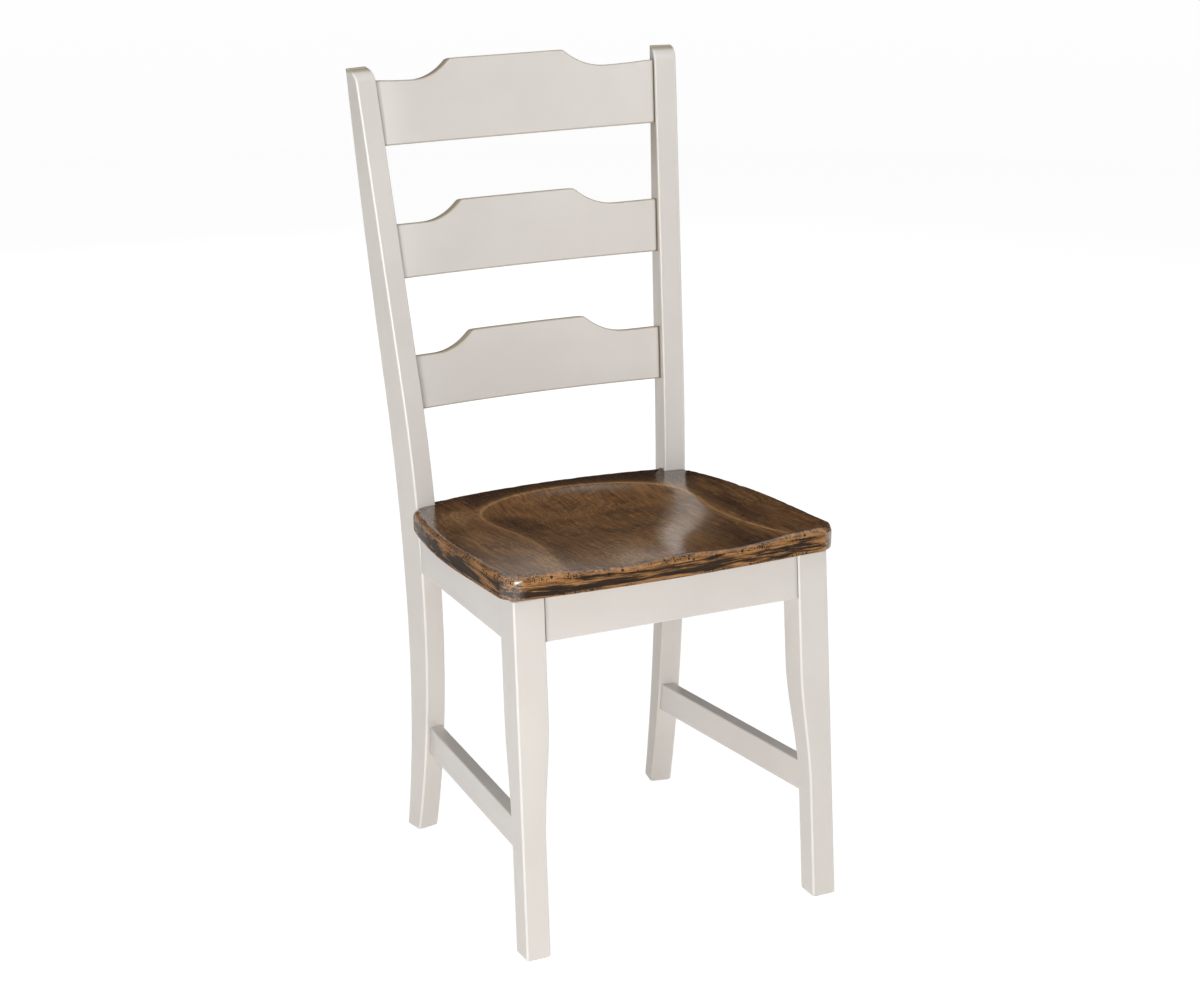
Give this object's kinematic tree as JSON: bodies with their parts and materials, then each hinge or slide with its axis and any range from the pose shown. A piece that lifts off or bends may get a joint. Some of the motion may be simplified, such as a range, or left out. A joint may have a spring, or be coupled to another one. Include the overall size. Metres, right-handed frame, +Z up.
{
  "type": "ladder-back dining side chair",
  "caption": "Armless dining chair: painted wooden frame with bent back slats between raked posts, and a scooped, dark stained solid wood seat.",
  "frame": {"origin": "on the floor, under the middle of the chair's bounding box", "axes": "-Y is the chair's front, +Z is up, X = 0 is the plane of symmetry; left (-X) and right (+X) are as seen from the front"},
  "size_m": [0.4304, 0.507, 0.9498],
  "materials": {
    "paint": "warm light grey satin paint on hardwood, edges rubbed",
    "seat_stain": "dark walnut stain, satin, edges rubbed through",
    "raw_wood": "bare planed hardwood",
    "screw_steel": "zinc plated",
    "glide_nylon": "moulded"
  },
  "bodies": {
    "root": {"seat_board": "seat_stain", "front_leg_left": "paint", "front_leg_right": "paint", "rear_post_left": "paint", "rear_post_right": "paint", "crest_slat": "paint", "middle_slat": "paint", "lower_slat": "paint", "front_apron": "paint", "rear_apron": "paint", "side_apron_left": "paint", "side_apron_right": "paint", "stretcher_left": "paint", "stretcher_right": "paint", "corner_block_front_left": "raw_wood", "corner_block_front_right": "raw_wood", "corner_block_rear_left": "raw_wood", "corner_block_rear_right": "raw_wood", "seat_screw_front_left": "screw_steel", "seat_screw_front_right": "screw_steel", "seat_screw_rear_left": "screw_steel", "seat_screw_rear_right": "screw_steel", "block_screw_front_left_cross": "screw_steel", "block_screw_front_left_side": "screw_steel", "block_screw_front_right_cross": "screw_steel", "block_screw_front_right_side": "screw_steel", "block_screw_rear_left_cross": "screw_steel", "block_screw_rear_left_side": "screw_steel", "block_screw_rear_right_cross": "screw_steel", "block_screw_rear_right_side": "screw_steel", "glide_front_left": "glide_nylon", "glide_front_right": "glide_nylon", "glide_rear_left": "glide_nylon", "glide_rear_right": "glide_nylon"}
  },
  "joints": []
}
